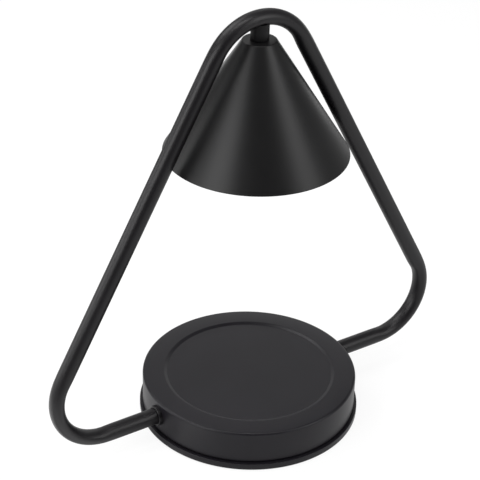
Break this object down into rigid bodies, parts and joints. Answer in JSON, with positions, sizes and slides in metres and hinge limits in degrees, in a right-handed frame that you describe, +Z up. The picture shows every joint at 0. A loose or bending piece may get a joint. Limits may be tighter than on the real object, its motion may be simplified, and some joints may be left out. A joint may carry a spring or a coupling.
{
  "type": "candle warmer lamp",
  "caption": "Table lamp that melts a jar candle from above: round pan base, bent tube triangle frame, cone shade under its apex with a twist-lock reflector bulb.",
  "frame": {"origin": "centre of the foot pad's resting face, on the base's axis", "axes": "+Z up along the axis of the base, the shade and the bulb; the tube frame lies in the XZ plane; +Y is the back, where the cord outlet is"},
  "size_m": [0.2888, 0.1424, 0.2775],
  "materials": {
    "black_powder_coat": "matte black powder coat on steel",
    "foot_foam": "matte closed-cell foam",
    "cast_iron": "as cast",
    "zinc_steel": "bright zinc plate",
    "black_plastic": "moulded, fine matte",
    "white_plastic": "moulded, matte",
    "brass": "bright",
    "ceramic": "unglazed white steatite",
    "silvered_glass": "pressed glass, silvered inside",
    "clear_glass": "clear",
    "wire_sleeve": "flexible sleeve"
  },
  "bodies": {
    "lamp": {"base_cover": "black_powder_coat", "base_tray": "black_powder_coat", "foot_pad": "foot_foam", "ballast_weight": "cast_iron", "tray_screw_1": "zinc_steel", "tray_screw_2": "zinc_steel", "tray_screw_3": "zinc_steel", "cord_gland": "black_plastic", "terminal_block": "white_plastic", "terminal_screw_1": "brass", "terminal_screw_2": "brass", "frame_tube": "black_powder_coat", "entry_collar_left": "black_powder_coat", "entry_collar_right": "black_powder_coat", "tube_nut_left": "zinc_steel", "tube_nut_right": "zinc_steel", "neck_sleeve": "black_powder_coat", "threaded_nipple": "zinc_steel", "shade": "black_powder_coat", "shade_washer": "zinc_steel", "shade_nut": "zinc_steel", "lampholder_bracket": "zinc_steel", "lampholder": "ceramic", "holder_screw_1": "zinc_steel", "holder_screw_2": "zinc_steel", "contact_strip_1": "brass", "contact_strip_2": "brass", "lamp_wire_1": "wire_sleeve", "lamp_wire_2": "wire_sleeve"},
    "bulb": {"bulb_base": "ceramic", "bulb_pin_1": "zinc_steel", "bulb_pin_2": "zinc_steel", "bulb_reflector": "silvered_glass", "bulb_lens": "clear_glass", "bulb_capsule": "clear_glass"}
  },
  "joints": [
    {"name": "bulb_twist", "type": "hinge", "parent": "lamp", "child": "bulb", "pos_m": [0, 0, 0.2328], "axis": [0, 0, 1], "range_deg": [-30, 0]}
  ]
}
